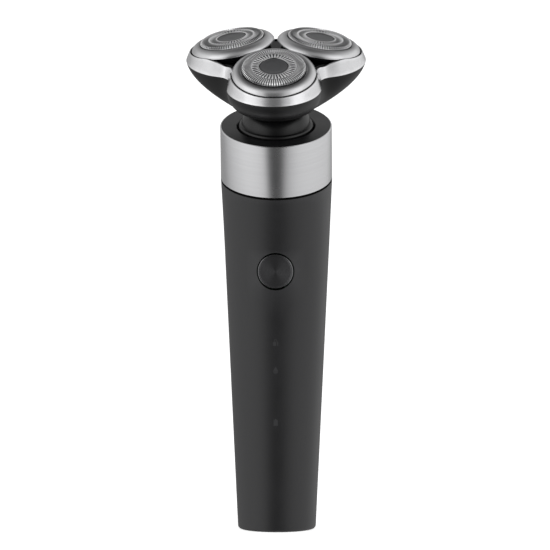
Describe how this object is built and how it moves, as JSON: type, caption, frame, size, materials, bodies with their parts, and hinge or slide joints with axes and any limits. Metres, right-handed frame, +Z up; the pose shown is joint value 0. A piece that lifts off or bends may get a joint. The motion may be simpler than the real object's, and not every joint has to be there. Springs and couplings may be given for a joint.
{
  "type": "rotary electric shaver",
  "caption": "Hand-held rotary shaver: slim tapered handle with a power button, metal collar and a pull-off head with round floating shaving units.",
  "frame": {"origin": "centre of the flat base that the handle stands on", "axes": "+Z up along the handle towards the head, -Y towards the power button, +X to the right of the button seen from the front"},
  "size_m": [0.0624, 0.0682, 0.176],
  "materials": {
    "base_plastic": "moulded matte",
    "battery_wrap": "blue sleeve",
    "board": "solder mask",
    "brass_contact": "plated contact",
    "bronze": "sintered bronze",
    "brushed_metal": "circumferential brushing",
    "button_metal": "spun dark metal",
    "copper": "copper winding",
    "frame_plastic": "moulded grey",
    "gear_plastic": "acetal",
    "gloss_black": "polished black",
    "guard_cap_grey": "satin dark grey",
    "guard_steel": "ground face",
    "head_plastic": "satin black",
    "inner_black": "moulded black",
    "light_guide": "translucent white",
    "magnet": "sintered",
    "neck_plastic": "satin dark grey",
    "nickel": "nickel",
    "ring_metal": "turned, circular brushing",
    "rubber_seal": "black",
    "satin_black": "satin black",
    "satin_metal": "satin",
    "soft_touch": "soft touch, very fine grain",
    "steel": "plain steel"
  },
  "bodies": {
    "handle": {"handle_shell": "soft_touch", "base_cap": "base_plastic", "charging_socket": "inner_black", "socket_contacts": "brass_contact", "inner_frame": "frame_plastic", "battery_cell": "battery_wrap", "battery_tabs": "nickel", "circuit_board": "board", "tact_switch": "inner_black", "icon_lights": "light_guide", "motor_can": "steel", "motor_bell": "inner_black", "motor_magnets": "magnet", "motor_mount": "frame_plastic", "motor_screws": "steel", "board_screws": "steel", "seat_screws": "steel", "joint_gasket": "rubber_seal", "collar_ring": "brushed_metal", "collar_cover": "satin_black", "head_seat": "inner_black", "shaft_seal": "rubber_seal", "latch_spring": "steel"},
    "power_button": {"button_cap": "button_metal", "button_stem": "inner_black", "switch_plunger": "inner_black"},
    "motor_rotor": {"motor_shaft": "steel", "motor_armature": "copper", "drive_coupling": "gear_plastic"},
    "shaving_head": {"neck": "neck_plastic", "head_shell": "head_plastic", "head_trim": "satin_metal", "top_plate": "head_plastic", "gear_plate": "frame_plastic", "head_screws": "steel", "input_bush": "bronze"},
    "central_gear": {"input_shaft": "gear_plastic", "sun_gear": "gear_plastic"},
    "outer_gear_1": {"planet_gear_1": "gear_plastic", "drive_pin_1": "steel"},
    "unit_1": {"cap_ring_1": "ring_metal", "guard_1": "guard_steel", "guard_cap_1": "guard_cap_grey", "pod_cradle_1": "gloss_black"},
    "cutter_1": {"cutter_1": "steel"},
    "outer_gear_2": {"planet_gear_2": "gear_plastic", "drive_pin_2": "steel"},
    "unit_2": {"cap_ring_2": "ring_metal", "guard_2": "guard_steel", "guard_cap_2": "guard_cap_grey", "pod_cradle_2": "gloss_black"},
    "cutter_2": {"cutter_2": "steel"},
    "outer_gear_3": {"planet_gear_3": "gear_plastic", "drive_pin_3": "steel"},
    "unit_3": {"cap_ring_3": "ring_metal", "guard_3": "guard_steel", "guard_cap_3": "guard_cap_grey", "pod_cradle_3": "gloss_black"},
    "cutter_3": {"cutter_3": "steel"}
  },
  "joints": [
    {"name": "button_press", "type": "slide", "parent": "handle", "child": "power_button", "axis": [0, 0.9989, 0.047], "range_m": [0, 0.0005], "stiffness_N_per_m": 900, "springref_m": -0.0004},
    {"name": "motor_spin", "type": "hinge", "parent": "handle", "child": "motor_rotor", "pos_m": [0, -0.00436, 0.1232], "axis": [0, -0.342, 0.9397], "continuous": true},
    {"name": "head_release", "type": "slide", "parent": "handle", "child": "shaving_head", "axis": [0, -0.342, 0.9397], "range_m": [0, 0.012]},
    {"name": "central_gear_spin", "type": "hinge", "parent": "shaving_head", "child": "central_gear", "pos_m": [0, -0.01633, 0.15609], "axis": [0, -0.342, 0.9397], "continuous": true},
    {"name": "outer_gear_1_spin", "type": "hinge", "parent": "shaving_head", "child": "outer_gear_1", "pos_m": [0, -0.03207, 0.15036], "axis": [0, -0.342, 0.9397], "continuous": true},
    {"name": "unit_1_tilt", "type": "hinge", "parent": "shaving_head", "child": "unit_1", "pos_m": [0, -0.03547, 0.15943], "axis": [1, 0, 0], "range_deg": [-3, 3], "stiffness_Nm_per_rad": 0.12},
    {"name": "cutter_1_spin", "type": "hinge", "parent": "unit_1", "child": "cutter_1", "pos_m": [0, -0.03547, 0.15943], "axis": [0, -0.515, 0.8572], "continuous": true},
    {"name": "outer_gear_2_spin", "type": "hinge", "parent": "shaving_head", "child": "outer_gear_2", "pos_m": [0.01451, -0.00846, 0.15895], "axis": [0, -0.342, 0.9397], "continuous": true},
    {"name": "unit_2_tilt", "type": "hinge", "parent": "shaving_head", "child": "unit_2", "pos_m": [0.01459, -0.01173, 0.16808], "axis": [-0.5, 0.8138, 0.2962], "range_deg": [-3, 3], "stiffness_Nm_per_rad": 0.12},
    {"name": "cutter_2_spin", "type": "hinge", "parent": "unit_2", "child": "cutter_2", "pos_m": [0.01459, -0.01173, 0.16808], "axis": [0.1652, -0.2461, 0.9551], "continuous": true},
    {"name": "outer_gear_3_spin", "type": "hinge", "parent": "shaving_head", "child": "outer_gear_3", "pos_m": [-0.01451, -0.00846, 0.15895], "axis": [0, -0.342, 0.9397], "continuous": true},
    {"name": "unit_3_tilt", "type": "hinge", "parent": "shaving_head", "child": "unit_3", "pos_m": [-0.01459, -0.01173, 0.16808], "axis": [-0.5, -0.8138, -0.2962], "range_deg": [-3, 3], "stiffness_Nm_per_rad": 0.12},
    {"name": "cutter_3_spin", "type": "hinge", "parent": "unit_3", "child": "cutter_3", "pos_m": [-0.01459, -0.01173, 0.16808], "axis": [-0.1652, -0.2461, 0.9551], "continuous": true}
  ],
  "couplings": [
    {"joint": "central_gear_spin", "follows": "motor_spin", "ratio": 1},
    {"joint": "outer_gear_1_spin", "follows": "motor_spin", "ratio": -1.3125},
    {"joint": "cutter_1_spin", "follows": "motor_spin", "ratio": -1.3125},
    {"joint": "outer_gear_2_spin", "follows": "motor_spin", "ratio": -1.3125},
    {"joint": "cutter_2_spin", "follows": "motor_spin", "ratio": -1.3125},
    {"joint": "outer_gear_3_spin", "follows": "motor_spin", "ratio": -1.3125},
    {"joint": "cutter_3_spin", "follows": "motor_spin", "ratio": -1.3125}
  ]
}
